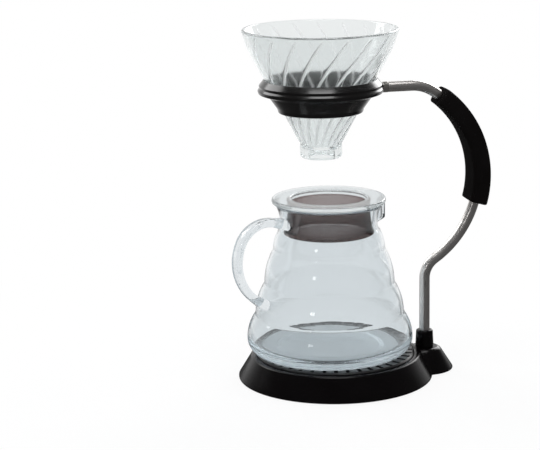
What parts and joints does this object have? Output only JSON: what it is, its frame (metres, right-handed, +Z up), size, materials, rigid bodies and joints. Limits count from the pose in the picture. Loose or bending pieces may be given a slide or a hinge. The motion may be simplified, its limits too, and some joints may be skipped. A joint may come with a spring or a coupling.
{
  "type": "pour-over dripper stand",
  "caption": "Weighted round base with a bent steel arm and grip, a ring holder for a ribbed glass cone dripper, and a stepped glass server with handle and lid standing on a drip grate.",
  "frame": {"origin": "centre of the non-slip pad on the table, on the axis of the round base", "axes": "+X from the base's axis towards the post and the grip, +Z up"},
  "size_m": [0.2051, 0.15, 0.2706],
  "materials": {
    "housing_plastic": "satin black moulding",
    "holder_plastic": "satin black moulding",
    "grate_plastic": "satin black moulding",
    "tray_plastic": "matt black moulding",
    "plate_steel": "zinc plated sheet",
    "ballast_iron": "as cast",
    "pad_rubber": "matt foam rubber",
    "screw_steel": "zinc plated",
    "arm_steel": "satin stainless",
    "insert_brass": "turned brass",
    "ferrule_steel": "polished stainless",
    "grip_rubber": "matt moulded elastomer",
    "dripper_glass": "clear pressed glass",
    "server_glass": "clear blown glass",
    "lid_glass": "clear pressed glass",
    "seal_silicone": "smoke translucent silicone"
  },
  "bodies": {
    "stand": {"base_housing": "housing_plastic", "bottom_plate": "plate_steel", "ballast_disc": "ballast_iron", "non_slip_pad": "pad_rubber", "plate_screws": "screw_steel", "drip_tray": "tray_plastic", "drip_grate": "grate_plastic", "post_collar": "housing_plastic", "arm_rod": "arm_steel", "post_screw": "screw_steel", "post_washer": "screw_steel", "grip_sleeve": "grip_rubber", "ring_holder": "holder_plastic", "lug_insert": "insert_brass", "arm_ferrule": "ferrule_steel"},
    "dripper": {"dripper_glass": "dripper_glass"},
    "server": {"server_glass": "server_glass", "server_handle": "server_glass"},
    "lid": {"lid_glass": "lid_glass", "lid_seal": "seal_silicone"}
  },
  "joints": [
    {"name": "dripper_lift", "type": "slide", "parent": "stand", "child": "dripper", "axis": [0, 0, 1], "range_m": [0, 0.09]},
    {"name": "server_draw", "type": "slide", "parent": "stand", "child": "server", "axis": [-0.9781, 0, 0.2079], "range_m": [0, 0.18]},
    {"name": "lid_lift", "type": "slide", "parent": "server", "child": "lid", "axis": [0, 0, 1], "range_m": [0, 0.026]}
  ]
}
